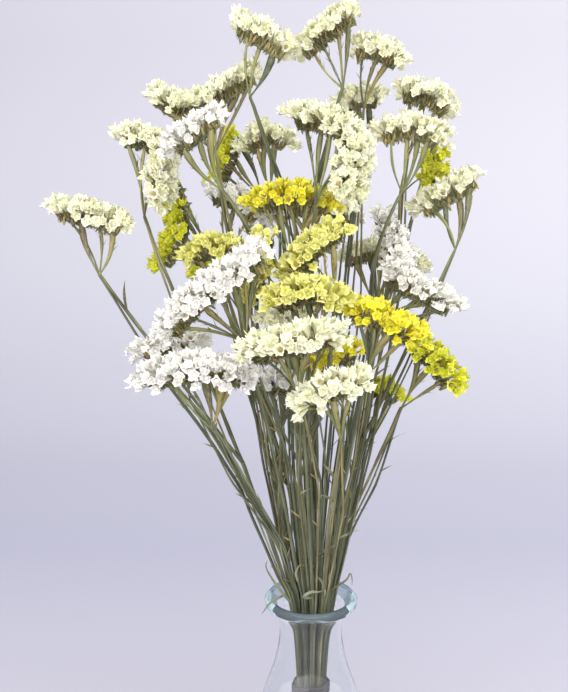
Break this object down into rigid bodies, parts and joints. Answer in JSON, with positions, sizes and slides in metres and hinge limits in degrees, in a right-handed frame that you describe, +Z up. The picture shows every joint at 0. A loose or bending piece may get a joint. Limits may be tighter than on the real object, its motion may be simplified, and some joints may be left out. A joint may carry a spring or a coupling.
{
  "type": "dried statice in a vase",
  "caption": "Tied bunch of dried statice with papery cream, white and yellow flower heads on slim green stems, in a clear glass vase.",
  "frame": {"origin": "centre of the vase's underside, on the vase's axis", "axes": "+Z up along the vase's axis, -Y towards the side seen from the front, +X to the right of that view"},
  "size_m": [0.3021, 0.2704, 0.6086],
  "materials": {
    "cream": "dry papery calyces, cream",
    "white": "dry papery calyces, white",
    "lime": "dry papery calyces, yellow-green",
    "lemon": "dry papery calyces, pale yellow",
    "gold": "dry papery calyces, strong yellow",
    "stem": "dried grey-green stems and bracts, matte",
    "tie": "dark elastic band, matte",
    "glass": "clear glass with a faint blue-green tint at the lip"
  },
  "bodies": {
    "root": {"flowers_centre_bend": "cream", "flowers_cream_back": "cream", "flowers_cream_front": "cream", "flowers_cream_inner": "cream", "flowers_cream_low": "cream", "flowers_gold_back": "gold", "flowers_gold_inner": "gold", "flowers_gold_low": "gold", "flowers_gold_right": "gold", "flowers_inner_small": "cream", "flowers_left_bend": "cream", "flowers_left_far": "cream", "flowers_left_high": "cream", "flowers_lemon_drop": "lemon", "flowers_lemon_front": "lemon", "flowers_lemon_high": "lemon", "flowers_lemon_left": "lemon", "flowers_lime_back": "lime", "flowers_lime_high": "lime", "flowers_lime_inner": "lime", "flowers_lime_left": "lime", "flowers_lime_left_high": "lime", "flowers_lime_right": "lime", "flowers_right_far": "cream", "flowers_right_high": "cream", "flowers_right_inner": "cream", "flowers_top_inner": "cream", "flowers_top_left": "cream", "flowers_top_middle": "cream", "flowers_top_right": "cream", "flowers_white_back": "white", "flowers_white_bend": "white", "flowers_white_low": "white", "flowers_white_low_back": "white", "flowers_white_low_right": "white", "flowers_white_middle": "white", "flowers_white_right": "white", "flowers_white_top": "white", "stem_centre": "stem", "stem_cream_back": "stem", "stem_cream_front": "stem", "stem_cream_low": "stem", "stem_gold": "stem", "stem_gold_right": "stem", "stem_left_high": "stem", "stem_left_wide": "stem", "stem_lemon": "stem", "stem_lemon_front": "stem", "stem_lime_left": "stem", "stem_lime_right": "stem", "stem_right": "stem", "stem_top_left": "stem", "stem_top_right": "stem", "stem_white_back": "stem", "stem_white_bend": "stem", "stem_white_low": "stem", "stem_white_right": "stem", "stem_white_top": "stem", "tie": "tie", "vase": "glass"}
  },
  "joints": []
}
